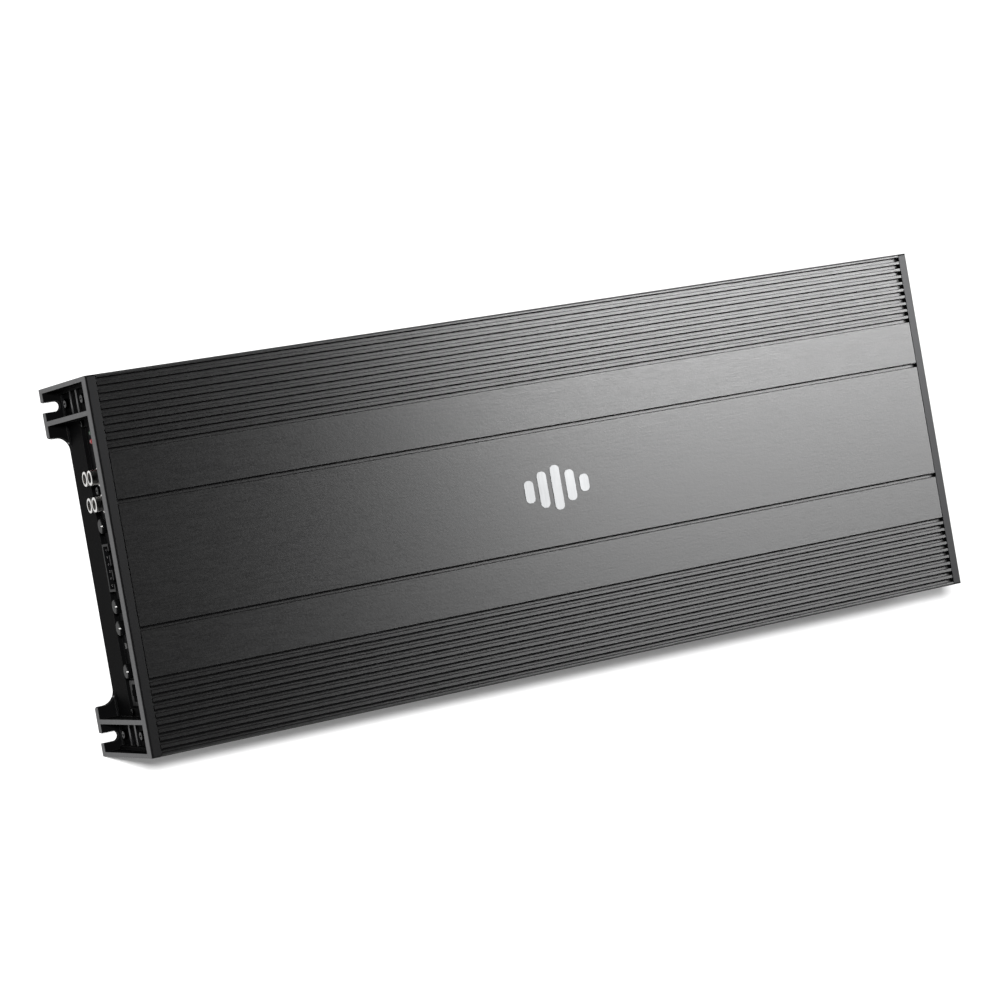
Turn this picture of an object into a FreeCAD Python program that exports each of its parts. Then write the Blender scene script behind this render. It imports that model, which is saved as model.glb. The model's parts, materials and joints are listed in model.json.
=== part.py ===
import FreeCAD, Part
import math, os

# Car amplifier, in millimetres. +Z is up, out of the grooved face. X runs along the case, with the signal
# inputs at -X and the power terminals at +X. The origin is the centre of the plane the four feet stand on.

V = FreeCAD.Vector

# ---- case ----
WIDTH = 208.0
HEIGHT = 75.0
TOP_LENGTH = 534.0           # end to end along the top edges
FOOT_REACH = 4.5             # how far each foot stands out past the top edge
HALF_W = WIDTH / 2
TOP_END = TOP_LENGTH / 2
FOOT_END = TOP_END + FOOT_REACH
BAND = 5.5                   # top band of each end frame
SINK_GAP = 0.5               # seam between heatsink and end frame
SINK_END = TOP_END - BAND - SINK_GAP
BACK_WALL = FOOT_END - 12.0  # outer face of the frame's back wall
BACK_T = 2.5
PANEL_OUT = BACK_WALL - BACK_T
PANEL_T = 1.5

# ---- heatsink section ----
SINK_Z0 = 1.0
WALL = 7.0
ROOF = 9.0
CHAMFER = 1.0
GROOVE_FIRST = 3.15
GROOVE_PITCH = 4.25
GROOVES_PER_SIDE = 10
GROOVE_INNER = 69.4          # single groove nearer the middle
GROOVE_W = 2.75              # at the mouth
GROOVE_FLOOR = 1.70          # the walls lean apart
GROOVE_D = 3.0
SIDE_GROOVE_FIRST = 8.0
SIDE_GROOVES = 14
SIDE_GROOVE_D = 0.9
SPIGOT_Y = 102.2             # end frame's locating lip
SPIGOT_Z = 69.2
LIP_CLEAR = 0.15
PLATE_T = 1.5
PLATE_HALF_W = 100.8
PLATE_HALF_L = 256.5
PLATE_SCREW_X = 114.0        # step between the bottom plate's screws
PLATE_SCREW_Y = 93.6
SCREW_ARM = 1.5              # cross recess of a bottom plate screw

# ---- end frames ----
FRAME_TOP = 6.5
FRAME_SIDE = 2.5
RIB_Y = HALF_W - 19.7
RIB_T = 2.6
FOOT_T = 4.5
FOOT_IN = HALF_W - 28.0
FOOT_CORNER = 1.5
FOOT_FILLET = 8.0
SLOT_R = 3.0
SLOT_X = FOOT_END - 6.8
SLOT_Y = HALF_W - 10.4
WINDOW_Y = 78.5
WINDOW_Z = (27.0, 66.5)
WINDOW_R = 2.0
RIDGE_Z = (21.5, 32.5)
RIDGE_W = 2.4                # two ridges across each foot pocket
RIDGE_H = 1.1
FRAME_SCREW_Y = 93.6
FRAME_SCREW_Z = (11.0, 42.5)
FRAME_SCREW_R = 1.5
FRAME_SCREW_HEAD = (2.75, 1.8)   # radius, height
BOSS_R = 3.2                 # metal round each frame screw
PANEL_SCREW_Y = 80.75
PANEL_SCREW_Z = (32.0, 61.5)
PANEL_SCREW_R = 1.2
PANEL_Z = (22.0, 65.5)
PANEL_HALF = 88.0

# ---- signal end, heights of the panel items above the mounting plane ----
ROW_Z = 40.3
RCA_Y = (50.0, 35.3)
RCA_Z = (40.3, 52.9)
RCA_TIP = (266.5, 267.6)
RCA_R = 4.15
RCA_WALL = 1.25               # thick rolled ring round each jack
RCA_FLANGE = 258.2           # front of the flange that seats each jack on the panel
RCA_SCREW = (42.65, 32.4)
LED_POWER = (74.6, 41.0)
LED_PROTECT = (69.9, 40.0)
LED_R = 1.5
KNOB_R = 4.0
KNOB_Y = {"gain": 23.1, "low_pass": -21.5, "subsonic": -33.6, "bass_boost": -57.6}
SHAFT_R = 1.5
RUN = 0.05                   # radial running clearance
SWITCH_Y = -44.9
SWITCH_TRAVEL = 2.5
PIN_PITCH = 3.96
PIN_COUNT = 6
SOCKET_HALF = PIN_PITCH * PIN_COUNT / 2 + 1.3
SOCKET_OUT = 262.0
PORT_Y = -70.2
LEG_X = (248.0, 248.8)       # solder legs of the pots and the switch
LEG_PITCH = 2.5
LED_LEG_X = (250.6, 251.1)
LED_LEG_Y = 0.7              # half the gap between the two legs

# ---- power end ----
POWER_STATIONS = [("ground", 22.0, 3.0), ("battery", 22.0, 3.0), ("remote", 14.0, 2.0)]
SPEAKER_STATIONS = [("speaker_%d" % n, 13.0, 2.5) for n in (1, 2, 3, 4)]
FIN_T = 2.0
BLOCK_OUT = 260.5
FIN_OUT = 266.4
BLOCK_Z = (33.0, 61.0)
POWER_Y0 = 10.0
SPEAKER_Y0 = -74.0
TERMINAL_Z = 47.0
CLAMP_PLATE_T = 2.0          # plate behind each washer
WASHER_T = 1.0

# ---- inside ----
BOARD_Z = 10.0
BOARD_T = 1.6
BOARD_X = (-250.0, 244.0)
BOARD_Y = 86.0
CONTROL_BOARD_Z = 29.0
CONTROL_BOARD_Y = 79.0
TRANSISTOR_X0 = -130.0
TRANSISTOR_STEP = 22.0
TRANSISTORS = 14
CLAMP_Z = 25.5
CLAMP_SCREW_R = 1.5
PAD_Z = (15.5, 34.5)
CLAMP_BAR_Z = (20.0, 31.0)
INNER_WALL = HALF_W - WALL

# ---- emblem, five bars of a plain sound-level motif ----
EMBLEM_HEIGHTS = (13.0, 21.0, 26.0, 18.0, 10.0)
EMBLEM_PITCH = 9.0
EMBLEM_BAR_W = 6.0
EMBLEM_DEEP = 0.6
EMBLEM_PROUD = 0.25


def box(x0, x1, y0, y1, z0, z1):
    return Part.makeBox(x1 - x0, y1 - y0, z1 - z0, V(x0, y0, z0))


def rod_x(x0, x1, y, z, r):
    return Part.makeCylinder(r, x1 - x0, V(x0, y, z), V(1, 0, 0))


def rod_z(x, y, z0, z1, r):
    return Part.makeCylinder(r, z1 - z0, V(x, y, z0), V(0, 0, 1))


def prism_y(points, y0, y1):
    wire = Part.makePolygon([V(x, y0, z) for x, z in points + points[:1]])
    return Part.Face(wire).extrude(V(0, y1 - y0, 0))


def fuse(shapes):
    first = shapes[0]
    return first.multiFuse(shapes[1:]).removeSplitter() if len(shapes) > 1 else first


def flip_x(shape):
    return shape.mirror(V(0, 0, 0), V(1, 0, 0))


def both_y(shape):
    return [shape, shape.mirror(V(0, 0, 0), V(0, 1, 0))]


def cross_recess(x, y, z, r, depth):
    """Phillips recess cut into a head whose top is at x and faces +X."""
    arm = r * 0.55
    slot = r * 0.14
    return [box(x - depth, x + 1, y - arm, y + arm, z - slot, z + slot),
            box(x - depth, x + 1, y - slot, y + slot, z - arm, z + arm)]


def pan_screw(x_seat, y, z, r_shank, length, r_head, h_head):
    """Screw along X with its head outwards (+X)."""
    head = rod_x(x_seat, x_seat + h_head, y, z, r_head)
    rim = [e for e in head.Edges if abs(e.CenterOfMass.x - x_seat - h_head) < 1e-6]
    head = head.makeFillet(h_head * 0.45, rim)
    screw = fuse([head, rod_x(x_seat - length, x_seat + 0.1, y, z, r_shank)])
    return screw.cut(fuse(cross_recess(x_seat + h_head, y, z, r_head, h_head * 0.6)))


def rounded_opening_x(x0, x1, y0, y1, z0, z1, r):
    """Box along X whose four long edges are rounded."""
    block = box(x0, x1, y0, y1, z0, z1)
    edges = [e for e in block.Edges if abs(e.tangentAt(e.FirstParameter).x) > 0.99]
    return block.makeFillet(r, edges)


def section_rect(y0, y1, z0, z1):
    pts = [V(0, y0, z0), V(0, y1, z0), V(0, y1, z1), V(0, y0, z1), V(0, y0, z0)]
    return Part.Face(Part.makePolygon(pts))


def groove_section(y):
    """One groove of the top face: a flat floor between leaning walls."""
    a, b = GROOVE_FLOOR / 2, GROOVE_W / 2
    outline = [(-a, -GROOVE_D), (a, -GROOVE_D), (b, 0), (b, 1), (-b, 1), (-b, 0)]
    pts = [V(0, y + dy, HEIGHT + dz) for dy, dz in outline]
    return Part.Face(Part.makePolygon(pts + pts[:1]))


def groove_centres():
    side = [GROOVE_FIRST + GROOVE_PITCH * i for i in range(GROOVES_PER_SIDE)] + [GROOVE_INNER]
    return [HALF_W - d for d in side] + [d - HALF_W for d in side]


def heatsink():
    c = CHAMFER
    outline = [(-HALF_W, SINK_Z0), (HALF_W, SINK_Z0), (HALF_W, HEIGHT - c), (HALF_W - c, HEIGHT),
               (c - HALF_W, HEIGHT), (-HALF_W, HEIGHT - c)]
    pts = [V(0, y, z) for y, z in outline]
    face = Part.Face(Part.makePolygon(pts + pts[:1]))
    cuts = [section_rect(-INNER_WALL, INNER_WALL, 0, HEIGHT - ROOF),
            section_rect(-PLATE_HALF_W - 0.2, PLATE_HALF_W + 0.2, 0, SINK_Z0 + PLATE_T + 0.1)]
    for y in groove_centres():
        cuts.append(groove_section(y))
    for i in range(SIDE_GROOVES):
        z = HEIGHT - SIDE_GROOVE_FIRST - GROOVE_PITCH * i
        for s in (-1, 1):
            y0, y1 = sorted((s * (HALF_W - SIDE_GROOVE_D), s * (HALF_W + 1)))
            cuts.append(section_rect(y0, y1, z - GROOVE_W / 2, z + GROOVE_W / 2))
    face = face.cut(Part.makeCompound(cuts[:1]))
    for piece in cuts[1:]:
        face = face.cut(piece)
    body = face.extrude(V(2 * SINK_END, 0, 0))
    body.translate(V(-SINK_END, 0, 0))
    # screw bosses along the inner walls
    bosses = []
    low_z, high_z = FRAME_SCREW_Z
    inside = INNER_WALL + 0.2
    low = box(-PANEL_OUT, PANEL_OUT, FRAME_SCREW_Y - BOSS_R, inside, SINK_Z0 + PLATE_T + 0.1, low_z + BOSS_R)
    high = fuse([rod_x(-PANEL_OUT, PANEL_OUT, FRAME_SCREW_Y, high_z, BOSS_R),
                 box(-PANEL_OUT, PANEL_OUT, FRAME_SCREW_Y, inside, high_z - BOSS_R, high_z + BOSS_R)])
    for piece in (low, high):
        bosses += both_y(piece)
    body = fuse([body] + bosses)
    away = []
    for s in (-1, 1):
        x0, x1 = sorted((s * PANEL_OUT, s * (SINK_END + 1)))
        away.append(box(x0, x1, -SPIGOT_Y - LIP_CLEAR, SPIGOT_Y + LIP_CLEAR, 0, SPIGOT_Z + LIP_CLEAR))
        for y in (-FRAME_SCREW_Y, FRAME_SCREW_Y):
            for z in FRAME_SCREW_Z:
                h0, h1 = sorted((s * (PANEL_OUT - 14), s * (PANEL_OUT + 1)))
                away.append(rod_x(h0, h1, y, z, FRAME_SCREW_R + RUN))
    for x, y in plate_screw_places():
        away.append(rod_z(x, y, 0, 10.5, 1.55))
    for x, s in clamp_screw_places():
        start = V(x, s * (INNER_WALL - 0.5), CLAMP_Z)
        away.append(Part.makeCylinder(CLAMP_SCREW_R + RUN, 5.0, start, V(0, s, 0)))
    return body.cut(Part.makeCompound(away))


def plate_screw_places():
    return [(PLATE_SCREW_X * k, s * PLATE_SCREW_Y) for k in (-2, -1, 0, 1, 2) for s in (-1, 1)]


def clamp_screw_places():
    span = TRANSISTOR_STEP * (TRANSISTORS - 1)
    xs = [TRANSISTOR_X0 + TRANSISTOR_STEP * (i + 0.5) for i in range(0, TRANSISTORS - 1, 2)]
    return [(x, s) for x in xs if x < TRANSISTOR_X0 + span for s in (-1, 1)]


def bottom_plate():
    z0 = SINK_Z0
    plate = box(-PLATE_HALF_L, PLATE_HALF_L, -PLATE_HALF_W, PLATE_HALF_W, z0, z0 + PLATE_T)
    holes = [Part.makeCone(3.1, 1.6, PLATE_T, V(x, y, z0), V(0, 0, 1)) for x, y in plate_screw_places()]
    return plate.cut(Part.makeCompound(holes))


def bottom_plate_screws():
    screws = []
    for x, y in plate_screw_places():
        cone = Part.makeCone(3.0, 1.5, PLATE_T, V(x, y, SINK_Z0), V(0, 0, 1))
        shank = rod_z(x, y, SINK_Z0 + PLATE_T, 9.5, 1.5)
        arm, thin = SCREW_ARM, 0.35
        recess = fuse([box(x - arm, x + arm, y - thin, y + thin, 0, SINK_Z0 + 1.0),
                       box(x - thin, x + thin, y - arm, y + arm, 0, SINK_Z0 + 1.0)])
        screws.append(fuse([cone, shank]).cut(recess))
    return Part.makeCompound(screws)


def foot_plan(s):
    """Foot flange at the +X end, on the side s of the centre line."""
    e, c, f = FOOT_END, FOOT_CORNER, FOOT_FILLET
    y_in = FOOT_IN
    k = math.sqrt(0.5)
    a = V(PANEL_OUT, s * HALF_W, 0)
    b = V(e, s * HALF_W, 0)
    p1, p2 = V(e, s * (y_in + c), 0), V(e - c, s * y_in, 0)
    m1 = V(e - c + c * k, s * (y_in + c - c * k), 0)
    p3, p4 = V(BACK_WALL + f, s * y_in, 0), V(BACK_WALL, s * (y_in - f), 0)
    m2 = V(BACK_WALL + f - f * k, s * (y_in - f + f * k), 0)
    p5 = V(PANEL_OUT, s * (y_in - f), 0)
    wire = Part.Wire([Part.makeLine(a, b), Part.makeLine(b, p1), Part.Arc(p1, m1, p2).toShape(),
                      Part.makeLine(p2, p3), Part.Arc(p3, m2, p4).toShape(), Part.makeLine(p4, p5),
                      Part.makeLine(p5, a)])
    return Part.Face(wire).extrude(V(0, 0, FOOT_T))


def end_frame():
    """Cast end frame, drawn for the +X end."""
    rim_x = SINK_END + SINK_GAP
    slant = prism_y([(PANEL_OUT, 0), (FOOT_END, 0), (TOP_END, HEIGHT), (PANEL_OUT, HEIGHT)], -HALF_W, HALF_W)
    rim = box(rim_x, FOOT_END, -HALF_W, HALF_W, 0, HEIGHT)
    inner = box(rim_x - 1, FOOT_END + 1, FRAME_SIDE - HALF_W, HALF_W - FRAME_SIDE, -1, HEIGHT - FRAME_TOP)
    rim = rim.cut(inner)
    lip = box(PANEL_OUT, rim_x + 1.2, -SPIGOT_Y, SPIGOT_Y, 0, SPIGOT_Z)
    lip = lip.cut(box(BACK_WALL, FOOT_END, -99.5, 99.5, -1, 67.5))
    solids = [rim, lip]
    for s in (-1, 1):
        y0, y1 = sorted((s * (RIB_Y - RIB_T / 2), s * (RIB_Y + RIB_T / 2)))
        solids.append(box(BACK_WALL - 0.5, FOOT_END, y0, y1, 1.0, HEIGHT - FRAME_TOP + 0.5))
        solids.append(foot_plan(s))
        y0, y1 = sorted((s * RIB_Y, s * 100.0))
        for z in RIDGE_Z:
            solids.append(box(BACK_WALL - 0.5, BACK_WALL + RIDGE_H, y0, y1, z - RIDGE_W / 2, z + RIDGE_W / 2))
    frame = fuse(solids).common(slant)
    top_edges = [e for e in frame.Edges if abs(e.CenterOfMass.z - HEIGHT) < 1e-6 and e.Length > 5
                 and abs(e.CenterOfMass.x - rim_x) > 0.01]
    frame = frame.makeChamfer(CHAMFER, top_edges)
    cuts = [rounded_opening_x(PANEL_OUT - 1, BACK_WALL + 1, -WINDOW_Y, WINDOW_Y, *WINDOW_Z, WINDOW_R)]
    for s in (-1, 1):
        y0, y1 = sorted((s * SPIGOT_Y, s * (HALF_W + 1)))
        cuts.append(box(PANEL_OUT - 1, rim_x, y0, y1, -1, FOOT_T + 1))
        cuts.append(rod_z(SLOT_X, s * SLOT_Y, -1, FOOT_T + 1, SLOT_R))
        cuts.append(box(SLOT_X, FOOT_END + 1, s * SLOT_Y - SLOT_R, s * SLOT_Y + SLOT_R, -1, FOOT_T + 1))
        for z in FRAME_SCREW_Z:
            cuts.append(rod_x(PANEL_OUT - 1, BACK_WALL + 2, s * FRAME_SCREW_Y, z, FRAME_SCREW_R + 0.2))
        for z in PANEL_SCREW_Z:
            cuts.append(rod_x(PANEL_OUT - 1, BACK_WALL + 1, s * PANEL_SCREW_Y, z, PANEL_SCREW_R + 0.15))
    return frame.cut(Part.makeCompound(cuts))


def frame_screws():
    one_end = [pan_screw(BACK_WALL, s * FRAME_SCREW_Y, z, FRAME_SCREW_R, 14.0, *FRAME_SCREW_HEAD)
               for s in (-1, 1) for z in FRAME_SCREW_Z]
    return Part.makeCompound(one_end + [flip_x(x) for x in one_end])


def panel_screws():
    one_end = [pan_screw(BACK_WALL, s * PANEL_SCREW_Y, z, PANEL_SCREW_R, 6.0, 1.9, 1.2)
               for s in (-1, 1) for z in PANEL_SCREW_Z]
    return Part.makeCompound(one_end + [flip_x(x) for x in one_end])


def panel_blank():
    plate = box(PANEL_OUT - PANEL_T, PANEL_OUT, -PANEL_HALF, PANEL_HALF, *PANEL_Z)
    holes = [rod_x(PANEL_OUT - 3, PANEL_OUT + 1, s * PANEL_SCREW_Y, z, PANEL_SCREW_R + RUN)
             for s in (-1, 1) for z in PANEL_SCREW_Z]
    return plate.cut(Part.makeCompound(holes))


def control_panel():
    x0, x1 = PANEL_OUT - 3, PANEL_OUT + 1
    cuts = [rod_x(x0, x1, y, z, RCA_R + 0.35) for y in RCA_Y for z in RCA_Z]
    cuts.append(rod_x(x0, x1, *RCA_SCREW, 1.4))
    cuts += [rod_x(x0, x1, y, z, LED_R + 0.1) for y, z in (LED_POWER, LED_PROTECT)]
    cuts += [rod_x(x0, x1, y, ROW_Z, SHAFT_R + 0.5) for y in KNOB_Y.values()]
    cuts.append(box(x0, x1, -SOCKET_HALF - 0.2, SOCKET_HALF + 0.2, 35.3, 46.7))
    cuts.append(box(x0, x1, SWITCH_Y - 3.6, SWITCH_Y + 3.6, ROW_Z - 2.0, ROW_Z + 2.0))
    cuts.append(box(x0, x1, PORT_Y - 7.2, PORT_Y + 7.2, CONTROL_BOARD_Z + BOARD_T - 0.1, 44.8))
    return flip_x(panel_blank().cut(Part.makeCompound(cuts)))


def rca_housing():
    x0, x1 = 243.0, PANEL_OUT - PANEL_T - 0.1
    block = box(x0, x1, RCA_Y[1] - 7.0, RCA_Y[0] + 7.0, CONTROL_BOARD_Z + BOARD_T + 0.1, 59.5)
    cuts = [rod_x(x0 + 2, x1 + 1, y, z, RCA_R + 0.05) for y in RCA_Y for z in RCA_Z]
    cuts.append(rod_x(x1 - 9, x1 + 1, RCA_SCREW[0], RCA_SCREW[1], 1.25))
    return flip_x(block.cut(Part.makeCompound(cuts)))


def rca_pieces(make):
    pieces = []
    for y in RCA_Y:
        for z, tip in zip(RCA_Z, RCA_TIP):
            pieces.append(flip_x(make(y, z, tip)))
    return Part.makeCompound(pieces)


def rca_shell(y, z, tip):
    front = rod_x(RCA_FLANGE, tip, y, z, RCA_R)
    edge = [e for e in front.Edges if abs(e.CenterOfMass.x - tip) < 1e-6]
    front = front.makeFillet(0.35, edge)
    flange = rod_x(PANEL_OUT + 0.05, RCA_FLANGE, y, z, RCA_R + 1.2)
    back = rod_x(245.5, PANEL_OUT + 0.5, y, z, RCA_R - 0.15)
    return fuse([back, flange, front]).cut(rod_x(245, tip + 1, y, z, RCA_R - RCA_WALL))


def rca_insulator(y, z, tip):
    return rod_x(245.5, tip - 1.0, y, z, RCA_R - RCA_WALL - 0.05).cut(rod_x(247, tip, y, z, 1.85))


def rca_contact(y, z, tip):
    return rod_x(247.1, tip - 1.3, y, z, 1.8).cut(rod_x(249, tip, y, z, 1.55))


def rca_screw():
    return flip_x(pan_screw(PANEL_OUT, RCA_SCREW[0], RCA_SCREW[1], 1.2, 8.5, 2.3, 1.4))


def high_level_socket():
    half = SOCKET_HALF
    body = fuse([box(246.0, SOCKET_OUT, -half, half, 35.5, 46.5),
                 box(246.0, 255.3, -half, half, CONTROL_BOARD_Z + BOARD_T + 0.05, 36.0)])
    cuts = [box(254.0, SOCKET_OUT + 1, 1.3 - half, half - 1.3, 37.0, 45.2)]
    for i in range(3):
        y = (i - 1) * 8.0
        cuts.append(box(SOCKET_OUT - 4.0, SOCKET_OUT + 1, y - 1.2, y + 1.2, 45.0, 47.0))
    cuts += [box(245, 255, y - 0.58, y + 0.58, 37.92, 39.08) for y in pin_places()]
    return flip_x(body.cut(Part.makeCompound(cuts)))


def pin_places():
    return [(i - (PIN_COUNT - 1) / 2) * PIN_PITCH for i in range(PIN_COUNT)]


def high_level_pins():
    pins = []
    for y in pin_places():
        pin = box(244.0, 261.0, y - 0.55, y + 0.55, 37.95, 39.05)
        foot = box(244.0, 245.1, y - 0.55, y + 0.55, CONTROL_BOARD_Z - 1.0, 38.5)
        pins.append(flip_x(fuse([pin, foot])))
    return Part.makeCompound(pins)


def remote_port():
    body = box(244.0, 258.6, PORT_Y - 7.0, PORT_Y + 7.0, CONTROL_BOARD_Z + BOARD_T + 0.05, 44.6)
    cuts = [box(247.5, 260.0, PORT_Y - 4.9, PORT_Y + 4.9, 34.2, 41.0),
            box(252.0, 260.0, PORT_Y - 1.7, PORT_Y + 1.7, 32.6, 34.4)]
    return flip_x(body.cut(Part.makeCompound(cuts)))


def remote_port_contacts():
    springs = [flip_x(box(247.6, 255.0, PORT_Y + d - 0.25, PORT_Y + d + 0.25, 40.3, 40.9))
               for d in (-1.9, -0.65, 0.65, 1.9)]
    return Part.makeCompound(springs)


def led(place):
    y, z = place
    tip = PANEL_OUT + 2.6
    lens = rod_x(252.0, tip, y, z, LED_R)
    rim = [e for e in lens.Edges if abs(e.CenterOfMass.x - tip) < 1e-6]
    lens = lens.makeFillet(1.2, rim)
    flange = rod_x(252.0, 253.0, y, z, 1.9)
    legs = []
    for d in (-LED_LEG_Y, LED_LEG_Y):
        legs.append(box(LED_LEG_X[0], 252.5, y + d - 0.25, y + d + 0.25, z - 0.25, z + 0.25))
        legs.append(box(*LED_LEG_X, y + d - 0.25, y + d + 0.25, CONTROL_BOARD_Z - 1.0, z + 0.25))
    return flip_x(fuse([lens, flange] + legs))


def knob(y):
    x0, x1 = PANEL_OUT + 0.5, PANEL_OUT + 5.6
    cap = rod_x(x0, x1, y, ROW_Z, KNOB_R)
    rim = [e for e in cap.Edges if abs(e.CenterOfMass.x - x1) < 1e-6]
    cap = cap.makeChamfer(0.5, rim)
    reach = KNOB_R + 0.25
    flutes = [rod_x(x0 - 1, x1 + 1, y + reach * math.cos(a), ROW_Z + reach * math.sin(a), 0.5)
              for a in [math.tau * i / 16 for i in range(16)]]
    cap = cap.cut(Part.makeCompound(flutes))
    pointer = box(x1 - 0.5, x1 + 1, y - 0.4, y + 0.4, ROW_Z + 0.6, ROW_Z + KNOB_R + 1)
    shaft = rod_x(247.0, x0 + 0.5, y, ROW_Z, SHAFT_R)
    return flip_x(fuse([cap, shaft]).cut(pointer))


def solder_legs(y, half, z_top):
    """Three flat legs that pass down through the control board."""
    return [box(*LEG_X, y + d - half, y + d + half, CONTROL_BOARD_Z - 1.0, z_top)
            for d in (-LEG_PITCH, 0, LEG_PITCH)]


def potentiometers():
    pots = []
    for y in KNOB_Y.values():
        body = box(246.0, 254.6, y - 4.9, y + 4.9, 35.2, 45.2)
        collar = rod_x(254.0, PANEL_OUT - PANEL_T - 0.1, y, ROW_Z, 3.2)
        legs = solder_legs(y, 0.4, 35.5)
        bore = rod_x(246.9, PANEL_OUT, y, ROW_Z, SHAFT_R + RUN)
        pots.append(flip_x(fuse([body, collar] + legs).cut(bore)))
    return Part.makeCompound(pots)


def phase_switch_body():
    y, z = SWITCH_Y, ROW_Z
    body = box(247.0, 255.3, y - 5.4, y + 5.4, z - 3.4, z + 3.4)
    cut = box(250.0, 256.0, y - 3.4, y + 3.4, z - 1.75, z + 1.75)
    return flip_x(fuse([body.cut(cut)] + solder_legs(y, 0.3, z - 3.2)))


def phase_switch_bezel():
    y, z = SWITCH_Y, ROW_Z
    plate = rounded_opening_x(PANEL_OUT, PANEL_OUT + 0.5, y - 5.2, y + 5.2, z - 3.4, z + 3.4, 0.8)
    return flip_x(plate.cut(box(250, 260, y - 3.4, y + 3.4, z - 1.8, z + 1.8)))


def phase_switch_lever():
    y = SWITCH_Y + SWITCH_TRAVEL / 2
    z = ROW_Z
    stem = box(250.4, PANEL_OUT + 3.0, y - 1.5, y + 1.5, z - 1.4, z + 1.4)
    ridges = [box(PANEL_OUT + 2.6, PANEL_OUT + 4, y + d - 0.2, y + d + 0.2, z - 2, z + 2)
              for d in (-0.8, 0, 0.8)]
    return flip_x(stem.cut(Part.makeCompound(ridges)))


def stations(specs, y_start):
    """Centre line of each terminal, counted up from the fin at y_start."""
    places = []
    y = y_start + FIN_T
    for name, width, r in specs:
        places.append((name, y + width / 2, width, r))
        y += width + FIN_T
    return places, y


def terminal_housing(specs, y_start):
    places, y_end = stations(specs, y_start)
    z0, z1 = BLOCK_Z
    solids = [box(249.0, BLOCK_OUT, y_start, y_end, z0, z1)]
    fins = [y_start] + [y + w / 2 for _, y, w, _ in places]
    solids += [box(BLOCK_OUT - 0.5, FIN_OUT, y, y + FIN_T, z0, z1) for y in fins]
    cuts = []
    for _, y, w, r in places:
        cuts.append(rod_x(250.5, BLOCK_OUT + 1, y, TERMINAL_Z, r + 0.4))
        cuts.append(box(248.0, BLOCK_OUT + 1, y - w / 4 - 0.1, y + w / 4 + 0.1, 37.9, 40.1))
    return fuse(solids).cut(Part.makeCompound(cuts))


def terminal_plates(specs, y_start):
    plates = []
    for _, y, w, r in stations(specs, y_start)[0]:
        plate = box(BLOCK_OUT, BLOCK_OUT + CLAMP_PLATE_T, y - w / 2 + 0.4, y + w / 2 - 0.4, 38.0, 56.0)
        tail = box(240.0, BLOCK_OUT + 1.0, y - w / 4, y + w / 4, 38.0, 40.0)
        drop = box(240.0, 242.0, y - w / 4, y + w / 4, BOARD_Z + BOARD_T, 39.0)
        solid = fuse([plate, tail, drop])
        plates.append(solid.cut(rod_x(BLOCK_OUT - 1, BLOCK_OUT + 3, y, TERMINAL_Z, r + RUN)))
    return Part.makeCompound(plates)


def terminal_screw(y, r):
    seat = BLOCK_OUT + CLAMP_PLATE_T + 0.1 + WASHER_T
    return pan_screw(seat, y, TERMINAL_Z, r, 9.5, r * 1.75, min(2.6, r * 0.95))


def terminal_washer(y, w, r):
    x0 = BLOCK_OUT + CLAMP_PLATE_T + 0.1
    x1 = x0 + WASHER_T
    half = min(w / 2 - 1.0, r * 2.4)
    plate = rounded_opening_x(x0, x1, y - half, y + half, TERMINAL_Z - half, TERMINAL_Z + half, 0.8)
    return plate.cut(rod_x(x0 - 1, x0 + 2, y, TERMINAL_Z, r + RUN))


def power_panel():
    cuts = []
    for specs, start in ((POWER_STATIONS, POWER_Y0), (SPEAKER_STATIONS, SPEAKER_Y0)):
        y_end = stations(specs, start)[1]
        cuts.append(box(250, 260, start - 0.2, y_end + 0.2, BLOCK_Z[0] - 0.2, BLOCK_Z[1] + 0.2))
    return panel_blank().cut(Part.makeCompound(cuts))


def emblem():
    """Five upright bars of different height, a plain sound-level motif, let into the top."""
    bars = []
    for i, tall in enumerate(EMBLEM_HEIGHTS):
        x0 = (i - 2) * EMBLEM_PITCH - EMBLEM_BAR_W / 2
        bar = box(x0, x0 + EMBLEM_BAR_W, -tall / 2, tall / 2, HEIGHT - EMBLEM_DEEP, HEIGHT + EMBLEM_PROUD)
        uprights = [e for e in bar.Edges if abs(e.tangentAt(e.FirstParameter).z) > 0.99]
        bars.append(bar.makeFillet(2.6, uprights))
    return bars


def leg_slots(leg_x, y, spread, half):
    """Slots in the control board for legs at -X, 0.1 mm clear of them."""
    return [box(-leg_x[1] - 0.1, 0.1 - leg_x[0], y + d - half, y + d + half,
                CONTROL_BOARD_Z - 1, CONTROL_BOARD_Z + 3) for d in spread]


def control_board():
    x0, x1 = -254.8, -204.0
    z = CONTROL_BOARD_Z
    board = box(x0, x1, -CONTROL_BOARD_Y, CONTROL_BOARD_Y, z, z + BOARD_T)
    cuts = [rod_z(x, y, z - 1, z + 3, 1.6) for x, y in control_post_places()]
    cuts += [box(-245.2, -243.9, y - 0.65, y + 0.65, z - 1, z + 3) for y in pin_places()]
    for y in KNOB_Y.values():
        cuts += leg_slots(LEG_X, y, (-LEG_PITCH, 0, LEG_PITCH), 0.5)
    cuts += leg_slots(LEG_X, SWITCH_Y, (-LEG_PITCH, 0, LEG_PITCH), 0.4)
    for y, _ in (LED_POWER, LED_PROTECT):
        cuts += leg_slots(LED_LEG_X, y, (-LED_LEG_Y, LED_LEG_Y), 0.35)
    return board.cut(Part.makeCompound(cuts))


def control_post_places():
    return [(x, y) for x in (-212.0, -238.0) for y in (-75.5, 64.0)]


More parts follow.
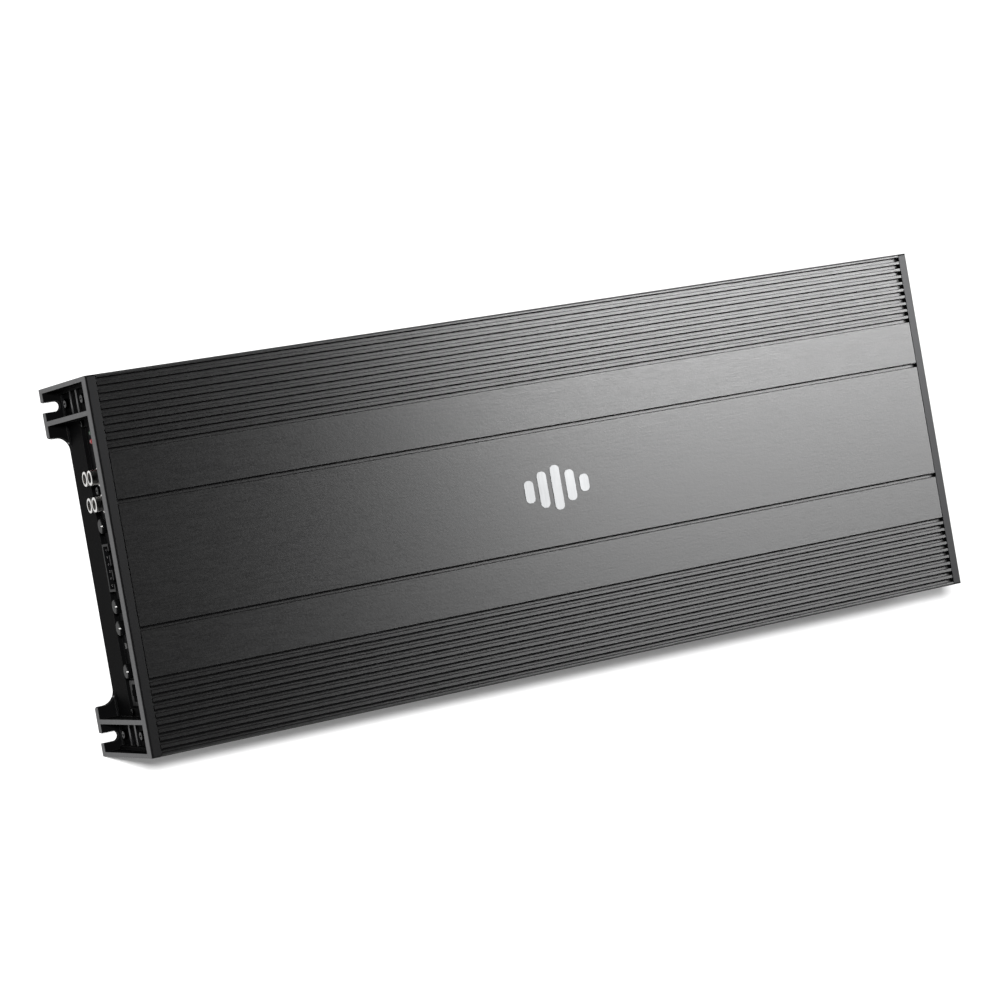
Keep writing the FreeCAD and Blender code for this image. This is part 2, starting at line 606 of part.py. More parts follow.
def posts(places, z0, z1):
    """Hexagonal posts with a stub through the board above."""
    made = []
    for x, y in places:
        hexagon = [V(x + 3.2 * math.cos(math.tau * k / 6), y + 3.2 * math.sin(math.tau * k / 6), z0)
                   for k in range(6)]
        post = Part.Face(Part.makePolygon(hexagon + hexagon[:1])).extrude(V(0, 0, z1 - z0))
        made.append(fuse([post, rod_z(x, y, z1 - 0.1, z1 + BOARD_T + 0.8, 1.5)]))
    return Part.makeCompound(made)


def main_post_places():
    return [(x, y) for x in (-225.0, -80.0, 80.0, 225.0) for y in (-80.0, 80.0)]


def main_board():
    board = box(*BOARD_X, -BOARD_Y, BOARD_Y, BOARD_Z, BOARD_Z + BOARD_T)
    holes = [rod_z(x, y, BOARD_Z - 1, BOARD_Z + 3, 1.6) for x, y in main_post_places()]
    return board.cut(Part.makeCompound(holes))


def ring(x, y, r_out, r_in, height, soften):
    z0 = BOARD_Z + BOARD_T + 0.4
    body = rod_z(x, y, z0, z0 + height, r_out).cut(rod_z(x, y, z0 - 1, z0 + height + 1, r_in))
    edges = [e for e in body.Edges if isinstance(e.Curve, Part.Circle)]
    return body.makeFillet(soften, edges)


def capacitor(x, y, r, height):
    z0 = BOARD_Z + BOARD_T
    can = rod_z(x, y, z0, z0 + height, r)
    rim = [e for e in can.Edges if abs(e.CenterOfMass.z - z0 - height) < 1e-6]
    groove = Part.makeTorus(r + 0.35, 0.8, V(x, y, z0 + 3.5), V(0, 0, 1))
    vents = [box(x - r * 0.6, x + r * 0.6, y - 0.15, y + 0.15, z0 + height - 0.3, z0 + height + 1),
             box(x - 0.15, x + 0.15, y - r * 0.6, y + r * 0.6, z0 + height - 0.3, z0 + height + 1)]
    return can.makeFillet(0.7, rim).cut(groove).cut(fuse(vents))


def transistors():
    made = []
    wall = INNER_WALL
    for i in range(TRANSISTORS):
        x = TRANSISTOR_X0 + TRANSISTOR_STEP * i
        body = box(x - 5, x + 5, wall - 4.9, wall - 0.4, 17.0, 26.5)
        tab = box(x - 5, x + 5, wall - 1.7, wall - 0.4, 26.0, 33.0)
        pieces = [body, tab]
        for d in (-2.54, 0, 2.54):
            pieces.append(box(x + d - 0.4, x + d + 0.4, wall - 3.0, wall - 2.5, 14.2, 17.5))
            pieces.append(box(x + d - 0.4, x + d + 0.4, 84.0, wall - 2.5, 14.2, 14.7))
            pieces.append(box(x + d - 0.4, x + d + 0.4, 84.0, 84.5, BOARD_Z + BOARD_T, 14.7))
        made += both_y(fuse(pieces))
    return Part.makeCompound(made)


def transistor_span():
    return TRANSISTOR_X0 - 9, TRANSISTOR_X0 + TRANSISTOR_STEP * (TRANSISTORS - 1) + 9


def insulating_pads():
    x0, x1 = transistor_span()
    wall = INNER_WALL
    pad = box(x0, x1, wall - 0.35, wall - 0.05, *PAD_Z)
    holes = [Part.makeCylinder(1.7, 4, V(x, wall - 2, CLAMP_Z), V(0, 1, 0))
             for x, s in clamp_screw_places() if s > 0]
    return Part.makeCompound(both_y(pad.cut(Part.makeCompound(holes))))


def transistor_clamps():
    x0, x1 = transistor_span()
    wall = INNER_WALL
    bar = box(x0, x1, wall - 7.0, wall - 5.0, *CLAMP_BAR_Z)
    holes = [Part.makeCylinder(1.6, 9, V(x, wall - 8, CLAMP_Z), V(0, 1, 0))
             for x, s in clamp_screw_places() if s > 0]
    return Part.makeCompound(both_y(bar.cut(Part.makeCompound(holes))))


def clamp_screws():
    wall = INNER_WALL
    made = []
    for x, s in clamp_screw_places():
        if s > 0:
            head = Part.makeCylinder(2.9, 2.0, V(x, wall - 9.0, CLAMP_Z), V(0, 1, 0))
            shank = Part.makeCylinder(CLAMP_SCREW_R, 11.0, V(x, wall - 7.1, CLAMP_Z), V(0, 1, 0))
            slot = box(x - 2.2, x + 2.2, wall - 10, wall - 8.1, CLAMP_Z - 0.35, CLAMP_Z + 0.35)
            made += both_y(fuse([head, shank]).cut(slot))
    return Part.makeCompound(made)


def driver_cards():
    z0 = BOARD_Z + BOARD_T
    made = []
    for y in (-38.0, 38.0):
        card = box(-165.0, -163.4, y - 26, y + 26, z0, z0 + 28)
        chips = [box(-163.5, -161.8, y + d - 4, y + d + 4, z0 + 8, z0 + 18) for d in (-16, 0, 16)]
        made.append(fuse([card] + chips))
    return Part.makeCompound(made)


def main():
    os.makedirs("parts", exist_ok=True)
    frame = end_frame()
    power, speaker = (POWER_STATIONS, POWER_Y0), (SPEAKER_STATIONS, SPEAKER_Y0)
    nodes = {
        "heatsink": heatsink(), "bottom_plate": bottom_plate(), "bottom_plate_screws": bottom_plate_screws(),
        "end_frame_signal": flip_x(frame), "end_frame_power": frame, "end_frame_screws": frame_screws(),
        "control_panel": control_panel(), "power_panel": power_panel(), "panel_screws": panel_screws(),
        "rca_housing": rca_housing(), "rca_shells": rca_pieces(rca_shell),
        "rca_insulators": rca_pieces(rca_insulator), "rca_contacts": rca_pieces(rca_contact),
        "rca_screw": rca_screw(), "high_level_socket": high_level_socket(),
        "high_level_pins": high_level_pins(), "remote_level_port": remote_port(),
        "remote_port_contacts": remote_port_contacts(), "power_led": led(LED_POWER),
        "protect_led": led(LED_PROTECT), "potentiometers": potentiometers(),
        "phase_switch_body": phase_switch_body(), "phase_switch_bezel": phase_switch_bezel(),
        "phase_switch_lever": phase_switch_lever(), "control_board": control_board(),
        "control_board_posts": posts(control_post_places(), BOARD_Z + BOARD_T, CONTROL_BOARD_Z),
        "main_board": main_board(),
        "main_board_posts": posts(main_post_places(), SINK_Z0 + PLATE_T, BOARD_Z),
        "power_terminal_housing": terminal_housing(*power), "power_terminal_plates": terminal_plates(*power),
        "speaker_terminal_housing": terminal_housing(*speaker),
        "speaker_terminal_plates": terminal_plates(*speaker),
        "power_transformers": Part.makeCompound([ring(x, 0, 26, 11, 24, 5) for x in (70.0, 128.0)]),
        "output_inductors": Part.makeCompound([ring(-105, y, 19, 8, 20, 4) for y in (-30.0, 30.0)]),
        "input_capacitors": Part.makeCompound([capacitor(x, y, 9, 36) for x in (172.0, 196.0)
                                               for y in (-48.0, -24.0, 0.0, 24.0, 48.0)]),
        "rail_capacitors": Part.makeCompound([capacitor(x, y, 12.5, 42) for x in (-52.0, -22.0, 8.0)
                                              for y in (-45.0, -15.0, 15.0, 45.0)]),
        "power_transistors": transistors(), "insulating_pads": insulating_pads(),
        "transistor_clamps": transistor_clamps(), "transistor_clamp_screws": clamp_screws(),
        "driver_cards": driver_cards(),
    }
    bars = emblem()
    pocket = Part.makeCompound(bars)
    nodes["emblem_bars"] = pocket
    nodes["heatsink"] = nodes["heatsink"].cut(pocket)
    for name, y in KNOB_Y.items():
        nodes[name + "_knob"] = knob(y)
    for specs, start in (power, speaker):
        for name, y, w, r in stations(specs, start)[0]:
            nodes[name + "_screw"] = terminal_screw(y, r)
            nodes[name + "_washer"] = terminal_washer(y, w, r)
    for name, shape in nodes.items():
        shape.exportStep("parts/%s.step" % name)
        good = shape.isValid() and all(s.isClosed() for s in shape.Shells)
        state = "ok" if good else "BROKEN"
        print(name, len(shape.Solids), "solids", state, round(shape.Volume / 1000, 2), "cm3")
    print(len(nodes), "nodes")


main()
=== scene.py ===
import json
import math
import bmesh
import bpy
from mathutils import Matrix, Vector


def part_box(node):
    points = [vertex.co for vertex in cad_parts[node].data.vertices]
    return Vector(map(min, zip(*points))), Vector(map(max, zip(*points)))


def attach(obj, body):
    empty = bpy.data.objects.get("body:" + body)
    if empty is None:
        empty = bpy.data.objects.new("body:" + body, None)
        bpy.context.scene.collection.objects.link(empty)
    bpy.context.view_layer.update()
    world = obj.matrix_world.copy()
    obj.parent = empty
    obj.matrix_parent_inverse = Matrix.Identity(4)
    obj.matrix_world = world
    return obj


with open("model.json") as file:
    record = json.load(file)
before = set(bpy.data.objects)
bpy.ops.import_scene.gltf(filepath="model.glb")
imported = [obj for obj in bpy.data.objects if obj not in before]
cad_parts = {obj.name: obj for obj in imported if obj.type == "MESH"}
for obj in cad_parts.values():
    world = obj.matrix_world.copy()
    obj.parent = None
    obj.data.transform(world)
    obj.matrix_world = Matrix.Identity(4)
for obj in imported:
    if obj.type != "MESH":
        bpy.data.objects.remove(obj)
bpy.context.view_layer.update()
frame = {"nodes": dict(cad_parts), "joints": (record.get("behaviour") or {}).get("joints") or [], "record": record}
nodes = frame["nodes"]

MM = 0.001
scene = bpy.context.scene


# ---------------------------------------------------------------- materials

class Mat:
    """A small builder for one procedural material, in the coordinates of the part."""

    def __init__(self, name):
        self.name = name
        self.mat = bpy.data.materials.new(name)
        self.mat.use_nodes = True
        self.tree = self.mat.node_tree
        self.tree.nodes.clear()
        self.out = self.node("ShaderNodeOutputMaterial")
        self.bsdf = self.node("ShaderNodeBsdfPrincipled")
        self.link(self.bsdf.outputs[0], self.out.inputs[0])
        self.coord = self.node("ShaderNodeTexCoord").outputs["Object"]
        self.normal = None

    def node(self, kind, **settings):
        n = self.tree.nodes.new(kind)
        for key, value in settings.items():
            setattr(n, key, value)
        return n

    def link(self, a, b):
        self.tree.links.new(a, b)

    def set(self, **values):
        for key, value in values.items():
            self.bsdf.inputs[key.replace("_", " ")].default_value = value

    def noise(self, scale, stretch=(1, 1, 1), detail=3.0):
        """Cloudy noise, about scale features to the metre, drawn out where the stretch is under 1."""
        mapping = self.node("ShaderNodeMapping")
        mapping.inputs["Scale"].default_value = stretch
        self.link(self.coord, mapping.inputs["Vector"])
        texture = self.node("ShaderNodeTexNoise")
        texture.inputs["Scale"].default_value = scale
        texture.inputs["Detail"].default_value = detail
        texture.inputs["Roughness"].default_value = 0.55
        self.link(mapping.outputs[0], texture.inputs["Vector"])
        return texture.outputs["Fac"]

    def remap(self, value, low, high, out_low, out_high):
        """Carries low..high over to out_low..out_high, and clamps what lies beyond."""
        ramp = self.node("ShaderNodeMapRange")
        for key, limit in (("From Min", low), ("From Max", high), ("To Min", out_low), ("To Max", out_high)):
            ramp.inputs[key].default_value = limit
        self.link(value, ramp.inputs["Value"])
        return ramp.outputs["Result"]

    def mix(self, fac, a, b):
        """Colour a where fac is 0 and b where it is 1; each is a colour or a socket."""
        blend = self.node("ShaderNodeMix", data_type="RGBA")
        for value, socket in ((a, blend.inputs[6]), (b, blend.inputs[7])):
            if isinstance(value, bpy.types.NodeSocket):
                self.link(value, socket)
            else:
                socket.default_value = (*value, 1.0)
        self.link(fac, blend.inputs[0])
        return blend.outputs[2]

    def math(self, op, a, b=0.0):
        """One sum on two values; each is a number or a socket."""
        step = self.node("ShaderNodeMath", operation=op)
        for value, socket in ((a, step.inputs[0]), (b, step.inputs[1])):
            if isinstance(value, bpy.types.NodeSocket):
                self.link(value, socket)
            else:
                socket.default_value = value
        return step.outputs[0]

    def position(self, axis):
        """One coordinate of the point being shaded, in metres in the frame of the part."""
        split = self.node("ShaderNodeSeparateXYZ")
        self.link(self.coord, split.inputs[0])
        return split.outputs[axis]

    def edges(self, radius, strength=1.0):
        """The strength along outside edges, 0 elsewhere."""
        bevel = self.node("ShaderNodeBevel", samples=4)
        bevel.inputs["Radius"].default_value = radius
        geo = self.node("ShaderNodeNewGeometry")
        dot = self.node("ShaderNodeVectorMath", operation="DOT_PRODUCT")
        self.link(bevel.outputs[0], dot.inputs[0])
        self.link(geo.outputs["True Normal"], dot.inputs[1])
        return self.remap(dot.outputs["Value"], 0.985, 0.80, 0.0, strength)

    def bump(self, height, strength, distance):
        """Adds relief on top of any already there."""
        relief = self.node("ShaderNodeBump")
        relief.inputs["Strength"].default_value = strength
        relief.inputs["Distance"].default_value = distance
        self.link(height, relief.inputs["Height"])
        if self.normal is not None:
            self.link(self.normal, relief.inputs["Normal"])
        self.normal = relief.outputs[0]
        self.link(self.normal, self.bsdf.inputs["Normal"])

    def colour(self, socket):
        self.link(socket, self.bsdf.inputs["Base Color"])

    def rough(self, socket):
        self.link(socket, self.bsdf.inputs["Roughness"])


def surface(name, base, vary, metallic, rough, grain, bump, edge_wear_and_glint=None, edge_wear_and_glint_amount=0.5, radius=0.25 * MM,
            stretch=(1, 1, 1), rough_spread=0.08, specular=0.5):
    """A general finish: two tones, fine grain, uneven gloss and worn edges; on the black screws the bright edge
    colour is also a painted glint.
    """
    m = Mat(name)
    m.set(Metallic=metallic, Specular_IOR_Level=specular)
    cloud = m.noise(60.0, detail=4)
    fine = m.noise(grain, stretch, detail=2)
    low = tuple(c * (1 - vary) for c in base)
    high = tuple(min(1.0, c * (1 + vary)) for c in base)
    tint = m.mix(cloud, low, high)
    if edge_wear_and_glint is not None:
        patches = m.remap(m.noise(900.0), 0.35, 0.65, 0.35, 1.0)
        tint = m.mix(m.math("MULTIPLY", m.edges(radius, edge_wear_and_glint_amount), patches), tint, edge_wear_and_glint)
    m.colour(tint)
    uneven = m.math("ADD", m.math("MULTIPLY", cloud, 0.5), m.math("MULTIPLY", fine, 0.5))
    m.rough(m.remap(uneven, 0.3, 0.7, rough - rough_spread, rough + rough_spread))
    m.bump(fine, bump, 0.012 * MM)
    return m


def anodised():
    """Fine-blasted black anodising over an extrusion: gloss spreads wider across the ribs than along them."""
    m = Mat("black_anodised")
    m.set(Metallic=0.0, IOR=1.62, Anisotropic=0.667)
    across = m.node("ShaderNodeCombineXYZ")
    across.inputs[1].default_value = 1.0
    m.link(across.outputs[0], m.bsdf.inputs["Tangent"])
    cloud = m.noise(14.0, detail=5)
    along = m.noise(900.0, (0.12, 1, 1), detail=3)
    weave = m.noise(1100.0, (0.6, 1, 1), detail=3)
    grit = m.noise(4200.0, detail=2)
    tone = m.mix(cloud, (0.0018, 0.0018, 0.0019), (0.0032, 0.0032, 0.0033))
    patchy = m.math("MULTIPLY", m.edges(0.25 * MM, 0.35), m.remap(m.noise(500.0), 0.35, 0.7, 0.2, 1.0))
    m.colour(m.mix(patchy, tone, (0.05, 0.05, 0.052)))
    blend = m.math("ADD", m.math("MULTIPLY", along, 0.5), m.math("MULTIPLY", weave, 0.5))
    m.rough(m.remap(blend, 0.3, 0.7, 0.350, 0.475))
    m.bump(grit, 0.25, 0.004 * MM)
    m.bump(weave, 1.0, 0.040 * MM)
    m.bump(along, 0.6, 0.040 * MM)
    return m


LIP_OVERHANG = 6.0 * MM  # from the end of the heatsink to the end frame's upper lip
RIDGE_DEPTH = 10.9 * MM  # from the foot's outer end in to the crest of the ridges in the pockets


def cast_frame():
    """Matt black casting, rubbed to satin metal on its slanted outer face; the crests of the ridges in its pockets
    get the same pale metal as a painted highlight of the overhead light they catch.
    """
    m = Mat("cast_satin_black")
    m.set(Specular_IOR_Level=0.010)
    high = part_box("end_frame_power")[1]
    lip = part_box("heatsink")[1].x + LIP_OVERHANG
    ridge = high.x - RIDGE_DEPTH
    z = m.position("Z")
    x = m.math("ABSOLUTE", m.position("X"))
    y = m.math("ABSOLUTE", m.position("Y"))
    slant = m.math("SUBTRACT", x, high.x)
    slant = m.math("ADD", slant, m.math("MULTIPLY", z, (high.x - lip) / high.z))
    outer = m.remap(slant, -0.25 * MM, -0.10 * MM, 0.0, 1.0)
    # crest: the crests of the ridges in the pockets, painted pale as a highlight that stands in for the overhead
    # light they catch
    crest = m.math("MULTIPLY", m.remap(x, ridge - 0.25 * MM, ridge - 0.15 * MM, 0.0, 1.0),
                   m.remap(x, ridge + 0.15 * MM, ridge + 0.25 * MM, 1.0, 0.0))
    cap = m.remap(z, high.z - 0.35 * MM, high.z - 0.15 * MM, 0.0, 1.0)
    flank = m.remap(y, high.y - 0.35 * MM, high.y - 0.15 * MM, 0.0, 1.0)
    # pale metal on the rubbed outer face, and as a painted highlight on the ridge crests
    bare_face_and_ridge_highlight = m.math("MAXIMUM", outer, crest)
    skin = m.math("MAXIMUM", cap, flank)
    cloud = m.noise(90.0, detail=4)
    brushed = m.noise(2400.0, (1, 0.25, 0.25), detail=3)
    grit = m.noise(1900.0, detail=3)
    black = m.mix(cloud, (0.0018, 0.0018, 0.0019), (0.0034, 0.0034, 0.0036))
    satin = m.mix(grit, (0.028, 0.028, 0.0285), (0.038, 0.038, 0.039))
    grey = m.mix(brushed, (0.105, 0.105, 0.107), (0.175, 0.175, 0.178))
    worn = m.math("MULTIPLY", m.edges(0.30 * MM, 0.6), m.remap(m.noise(700.0), 0.35, 0.65, 0.3, 1.0))
    worn = m.math("MULTIPLY", worn, m.math("MAXIMUM", bare_face_and_ridge_highlight, 0.12))
    m.colour(m.mix(worn, m.mix(bare_face_and_ridge_highlight, m.mix(skin, black, satin), grey), (0.34, 0.34, 0.35)))
    m.link(m.math("MAXIMUM", bare_face_and_ridge_highlight, skin), m.bsdf.inputs["Metallic"])
    m.rough(m.math("ADD", m.remap(grit, 0.3, 0.7, 0.48, 0.60), m.math("MULTIPLY", bare_face_and_ridge_highlight, -0.12)))
    m.bump(grit, 0.5, 0.010 * MM)
    return m


def metal(name, base, rough, stretch=(1, 1, 1), grain=2500.0, bump=0.1):
    """Bare or plated metal, brighter along its edges."""
    polished = tuple(min(1, c * 1.25) for c in base)
    return surface(name, base, 0.06, 1.0, rough, grain, bump, edge_wear_and_glint=polished, edge_wear_and_glint_amount=0.5,
                   radius=0.12 * MM, stretch=stretch, rough_spread=0.06)


def plastic(name, base, rough, grain=2600.0, bump=0.25, specular=0.3):
    """Moulded plastic, scuffed paler along its edges."""
    scuffed = tuple(min(1, c * 2.5 + 0.01) for c in base)
    return surface(name, base, 0.15, 0.0, rough, grain, bump, edge_wear_and_glint=scuffed, edge_wear_and_glint_amount=0.4,
                   radius=0.15 * MM, specular=specular)


def lens(name, base, glow):
    """A glossy tinted lens with a faint glow of its own."""
    m = surface(name, base, 0.1, 0.0, 0.12, 1800.0, 0.05)
    m.set(Coat_Weight=0.4, Emission_Strength=glow)
    m.bsdf.inputs["Emission Color"].default_value = (*base, 1)
    return m


def board(name, mask, trace):
    """Solder resist with the faint relief of tracks beneath it."""
    m = Mat(name)
    cells = m.node("ShaderNodeTexVoronoi", feature="DISTANCE_TO_EDGE", distance="CHEBYCHEV")
    cells.inputs["Scale"].default_value = 160.0
    m.link(m.coord, cells.inputs["Vector"])
    tracks = m.remap(cells.outputs[0], 0.02, 0.10, 1.0, 0.0)
    m.colour(m.mix(tracks, mask, trace))
    m.rough(m.remap(m.noise(300.0), 0.3, 0.7, 0.3, 0.42))
    m.bump(tracks, 0.3, 0.03 * MM)
    return m


def winding():
    """Enamelled copper wire, wound close."""
    m = Mat("copper_winding")
    m.set(Metallic=0.85)
    wire = m.node("ShaderNodeTexWave", wave_type="RINGS", rings_direction="SPHERICAL")
    wire.inputs["Scale"].default_value = 380.0
    wire.inputs["Distortion"].default_value = 1.5
    m.link(m.coord, wire.inputs["Vector"])
    m.colour(m.mix(wire.outputs["Fac"], (0.22, 0.07, 0.02), (0.62, 0.26, 0.10)))
    m.rough(m.remap(m.noise(400.0), 0.3, 0.7, 0.22, 0.36))
    m.bump(wire.outputs["Fac"], 0.6, 0.2 * MM)
    return m


FINISHES = (
    anodised(),
    cast_frame(),
    surface("black_sheet", (0.0040, 0.0040, 0.0043), 0.15, 0.0, 0.50, 3200.0, 0.3,
            edge_wear_and_glint=(0.05, 0.05, 0.05), edge_wear_and_glint_amount=0.4, specular=0.03),
    # black screws: the bright steel along the edges of the heads is partly worn metal and partly a painted glint
    surface("black_screw", (0.020, 0.020, 0.0205), 0.10, 1.0, 0.18, 2200.0, 0.1,
            edge_wear_and_glint=(0.70, 0.70, 0.71), edge_wear_and_glint_amount=0.45, radius=0.05 * MM),
    metal("bright_screw", (0.62, 0.62, 0.63), 0.26),
    metal("bar_aluminium", (0.40, 0.405, 0.41), 0.66, stretch=(1, 0.04, 1), grain=1800.0, bump=0.2),
    plastic("black_moulding", (0.0035, 0.0035, 0.0038), 0.36, specular=0.08),
    metal("nickel", (0.94, 0.93, 0.91), 0.34),
    plastic("dark_insulator", (0.02, 0.02, 0.02), 0.35),
    metal("gold_contact", (0.83, 0.60, 0.25), 0.2),
    lens("green_lens", (0.006, 0.030, 0.012), 0.0),
    lens("red_lens", (0.22, 0.010, 0.013), 0.08),
    plastic("black_knob", (0.0025, 0.0025, 0.0027), 0.26, specular=0.10),
    plastic("switch_lever", (0.02, 0.02, 0.02), 0.34),
    board("circuit_board", (0.006, 0.045, 0.018), (0.012, 0.09, 0.035)),
    metal("post_brass", (0.74, 0.56, 0.28), 0.28),
    winding(),
    plastic("capacitor_sleeve", (0.012, 0.012, 0.03), 0.24, grain=900.0, bump=0.1),
    plastic("transistor_black", (0.02, 0.02, 0.02), 0.5),
    plastic("grey_pad", (0.30, 0.31, 0.32), 0.7),
    metal("clamp_steel", (0.55, 0.55, 0.56), 0.3, stretch=(0.05, 1, 1), grain=1500.0, bump=0.2),
    board("blue_card", (0.01, 0.03, 0.11), (0.03, 0.07, 0.20)),
    surface("white_print", (0.70, 0.70, 0.68), 0.06, 0.0, 0.5, 2000.0, 0.1),
)
LIBRARY = {finish.name: finish for finish in FINISHES}

slot_of = {subpart["node"]: subpart["material_slot"] for subpart in frame["record"]["subparts"]}
for name, obj in nodes.items():
    obj.data.materials.clear()
    obj.data.materials.append(LIBRARY[slot_of[name]].mat)


# ---------------------------------------------------------------- added pieces

def add_piece(name, bm, body, finish):
    """Turns a bmesh into a piece that moves with one body, under one of the record's material slots."""
    mesh = bpy.data.meshes.new(name)
    bm.normal_update()
    bm.to_mesh(mesh)
    bm.free()
    obj = bpy.data.objects.new(name, mesh)
    scene.collection.objects.link(obj)
    mesh.materials.append(finish.mat)
    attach(obj, body)


def slab(bm, low, high, soften):
    """A small block with softened edges."""
    corners = bmesh.ops.create_cube(bm, size=1.0)["verts"]
    bmesh.ops.scale(bm, vec=high - low, verts=corners)
    bmesh.ops.translate(bm, vec=(low + high) / 2, verts=corners)
    edges = list({edge for corner in corners for edge in corner.link_edges})
    bmesh.ops.bevel(bm, geom=edges, offset=soften, segments=2, affect="EDGES", profile=0.5)


TICK_STEP = 30  # degrees between ticks, which run the whole travel of the knob
LONG_TICKS = (-150, 0, 150)
TICK_START, TICK_END, LONG_TICK_END = 4.55 * MM, 5.25 * MM, 5.75 * MM  # out from the knob's axis
TICK_HALF_WIDTH = 0.16 * MM
PRINT_THICKNESS = 0.04 * MM
POINTER_START, POINTER_END = 0.9 * MM, 3.5 * MM  # out from the knob's axis
POINTER_HALF_WIDTH = 0.32 * MM
POINTER_INSET, POINTER_BACK = 0.12 * MM, 0.55 * MM  # behind the knob's front face
POINTER_SOFTENING = 0.06 * MM

knob_joints = [joint for joint in frame["joints"] if joint["type"] == "hinge"]


def tick(bm, centre, angle, length_end):
    """One thin printed bar, pointing away from the centre."""
    direction = Vector((0, math.sin(angle), math.cos(angle)))
    side = Vector((0, direction.z, -direction.y)) * TICK_HALF_WIDTH
    near = centre + direction * TICK_START
    far = centre + direction * length_end
    lift = Vector((-PRINT_THICKNESS, 0, 0))
    ring = [near - side, near + side, far + side, far - side]
    bottom = [bm.verts.new(corner) for corner in ring]
    top = [bm.verts.new(corner + lift) for corner in ring]
    bm.faces.new(bottom)
    bm.faces.new(top[::-1])
    for k in range(4):
        n = (k + 1) % 4
        bm.faces.new((bottom[k], top[k], top[n], bottom[n]))


def knob_marks():
    """Printed ticks in an arc round each knob, longer at the middle and at both ends of its travel."""
    bm = bmesh.new()
    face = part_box("control_panel")[0].x
    for joint in knob_joints:
        centre = Vector((face, joint["pos_m"][1], joint["pos_m"][2]))
        for degrees in range(LONG_TICKS[0], LONG_TICKS[-1] + 1, TICK_STEP):
            length_end = LONG_TICK_END if degrees in LONG_TICKS else TICK_END
            tick(bm, centre, math.radians(degrees), length_end)
    bmesh.ops.recalc_face_normals(bm, faces=bm.faces)
    add_piece("knob_scale_marks", bm, "case", LIBRARY["white_print"])


def pointers():
    """A white bar let into the front of each knob, which turns with it."""
    for joint in knob_joints:
        knob = joint["child"]
        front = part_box(knob)[0].x
        y, z = joint["pos_m"][1], joint["pos_m"][2]
        bm = bmesh.new()
        slab(bm, Vector((front + POINTER_INSET, y - POINTER_HALF_WIDTH, z + POINTER_START)),
             Vector((front + POINTER_BACK, y + POINTER_HALF_WIDTH, z + POINTER_END)), POINTER_SOFTENING)
        add_piece(knob + "_pointer", bm, knob, LIBRARY["white_print"])


knob_marks()
pointers()

# ---------------------------------------------------------------- stage, light and camera

FLOOR_HALF = 6.0


def paper():
    """White paper to the eye, but a darker card in reflections."""
    m = Mat("paper_floor")
    m.set(Roughness=0.9)
    m.colour(m.mix(m.noise(8.0), (0.90, 0.90, 0.90), (0.92, 0.92, 0.92)))
    card = m.node("ShaderNodeBsdfDiffuse")
    card.inputs["Color"].default_value = (0.50, 0.50, 0.50, 1.0)
    ray = m.node("ShaderNodeLightPath")
    either = m.node("ShaderNodeMixShader")
    m.link(ray.outputs["Is Glossy Ray"], either.inputs[0])
    m.link(m.bsdf.outputs[0], either.inputs[1])
    m.link(card.outputs[0], either.inputs[2])
    m.link(either.outputs[0], m.out.inputs[0])
    return m


def paper_floor():
    mesh = bpy.data.meshes.new("floor")
    corners = [(x * FLOOR_HALF, y * FLOOR_HALF, 0) for x, y in ((-1, -1), (1, -1), (1, 1), (-1, 1))]
    mesh.from_pydata(corners, [], [(0, 1, 2, 3)])
    mesh.materials.append(paper().mat)
    obj = bpy.data.objects.new("floor", mesh)
    scene.collection.objects.link(obj)
    return obj


def studio_world(lit, horizon, zenith):
    """Even white light on every matt surface; in reflections, a white cove that darkens overhead."""
    world = bpy.data.worlds.new("studio_world")
    world.use_nodes = True
    tree = world.node_tree
    flat = tree.nodes["Background"]
    flat.inputs[0].default_value = (1, 1, 1, 1)
    flat.inputs[1].default_value = lit
    cove = tree.nodes.new("ShaderNodeBackground")
    coord = tree.nodes.new("ShaderNodeTexCoord")
    split = tree.nodes.new("ShaderNodeSeparateXYZ")
    fade = tree.nodes.new("ShaderNodeMapRange")
    fade.interpolation_type = "SMOOTHSTEP"
    for key, limit in (("From Min", 0.12), ("From Max", 0.62), ("To Min", horizon), ("To Max", zenith)):
        fade.inputs[key].default_value = limit
    path = tree.nodes.new("ShaderNodeLightPath")
    mix = tree.nodes.new("ShaderNodeMixShader")
    tree.links.new(coord.outputs["Generated"], split.inputs[0])
    tree.links.new(split.outputs["Z"], fade.inputs["Value"])
    tree.links.new(fade.outputs["Result"], cove.inputs["Strength"])
    tree.links.new(path.outputs["Is Glossy Ray"], mix.inputs[0])
    tree.links.new(flat.outputs[0], mix.inputs[1])
    tree.links.new(cove.outputs[0], mix.inputs[2])
    tree.links.new(mix.outputs[0], tree.nodes["World Output"].inputs["Surface"])
    world.cycles.sampling_method = "NONE"
    scene.world = world


def softbox(name, place, turn, size, watts, glossy=True):
    """A rectangular lamp shining along its own -Z; its sides lie along its own X and Y."""
    data = bpy.data.lights.new(name, "AREA")
    data.shape = "RECTANGLE"
    data.size, data.size_y = size
    data.energy = watts
    lamp = bpy.data.objects.new(name, data)
    lamp.location = place
    lamp.rotation_mode = "QUATERNION"
    lamp.rotation_quaternion = turn
    lamp.visible_glossy = glossy
    scene.collection.objects.link(lamp)
    return lamp


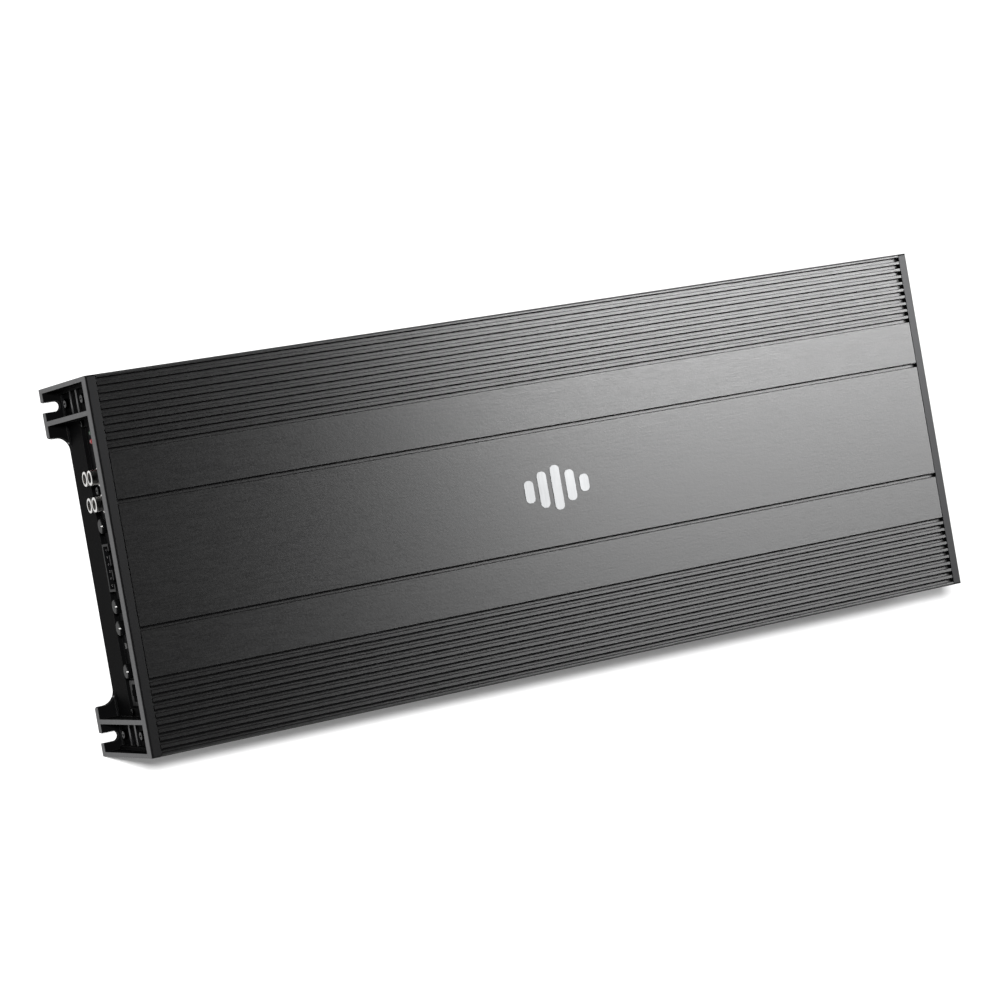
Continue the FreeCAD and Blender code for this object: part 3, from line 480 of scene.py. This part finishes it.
def facing(place, aim):
    """The turn that points a lamp at a place from another."""
    return (Vector(aim) - Vector(place)).to_track_quat("-Z", "Y")


def along_ribs(lean, tilt):
    """A strip parallel to the ribs, shining down and across them by the lean, one end raised by the tilt."""
    return (Matrix.Rotation(tilt, 3, "Y") @ Matrix.Rotation(-math.atan(lean), 3, "X")).to_quaternion()


def keep_off(lamp, obj):
    """Flags the lamp off one object, so that it lights everything else only."""
    flagged = bpy.data.collections.new(lamp.name + "_flagged")
    flagged.objects.link(obj)
    lamp.light_linking.receiver_collection = flagged
    flagged.collection_objects[0].light_linking.link_state = "EXCLUDE"


def place_camera(place, right, forward, focal_mm):
    """A camera looking along forward with right to its right, the two made square to each other."""
    data = bpy.data.cameras.new("camera")
    data.sensor_width = 36.0
    data.lens = focal_mm
    data.clip_start, data.clip_end = 0.05, 50.0
    camera = bpy.data.objects.new("camera", data)
    right, forward = Vector(right).normalized(), Vector(forward).normalized()
    up = right.cross(forward).normalized()
    right = forward.cross(up).normalized()
    turn = Matrix((right, up, -forward)).transposed().to_4x4()
    camera.matrix_world = Matrix.Translation(place) @ turn
    scene.collection.objects.link(camera)
    scene.camera = camera


KEY_PLACE = (0.89, 0.302, 0.90)
KEY_SIZE = (1.19, 0.16)
KEY_WATTS = 38.9
OVERHEAD_PLACE = (-0.92, 0.28, 2.2)
OVERHEAD_SIZE = (0.19, 0.30)
OVERHEAD_WATTS = 72

floor = paper_floor()
studio_world(lit=0.45, horizon=0.5, zenith=0.015)
keep_off(softbox("key_strip", KEY_PLACE, along_ribs(lean=0.33, tilt=-0.2), KEY_SIZE, KEY_WATTS), floor)
softbox("overhead_softbox", OVERHEAD_PLACE, facing(OVERHEAD_PLACE, (0, 0, 0)), OVERHEAD_SIZE, OVERHEAD_WATTS,
        glossy=False)
place_camera((-0.69277, 0.02793, 1.43584), right=(0.88621, -0.17134, 0.43044),
             forward=(0.43379, -0.01934, -0.90081), focal_mm=95.111)
scene.view_settings.view_transform = "Standard"
scene.view_settings.look = "None"
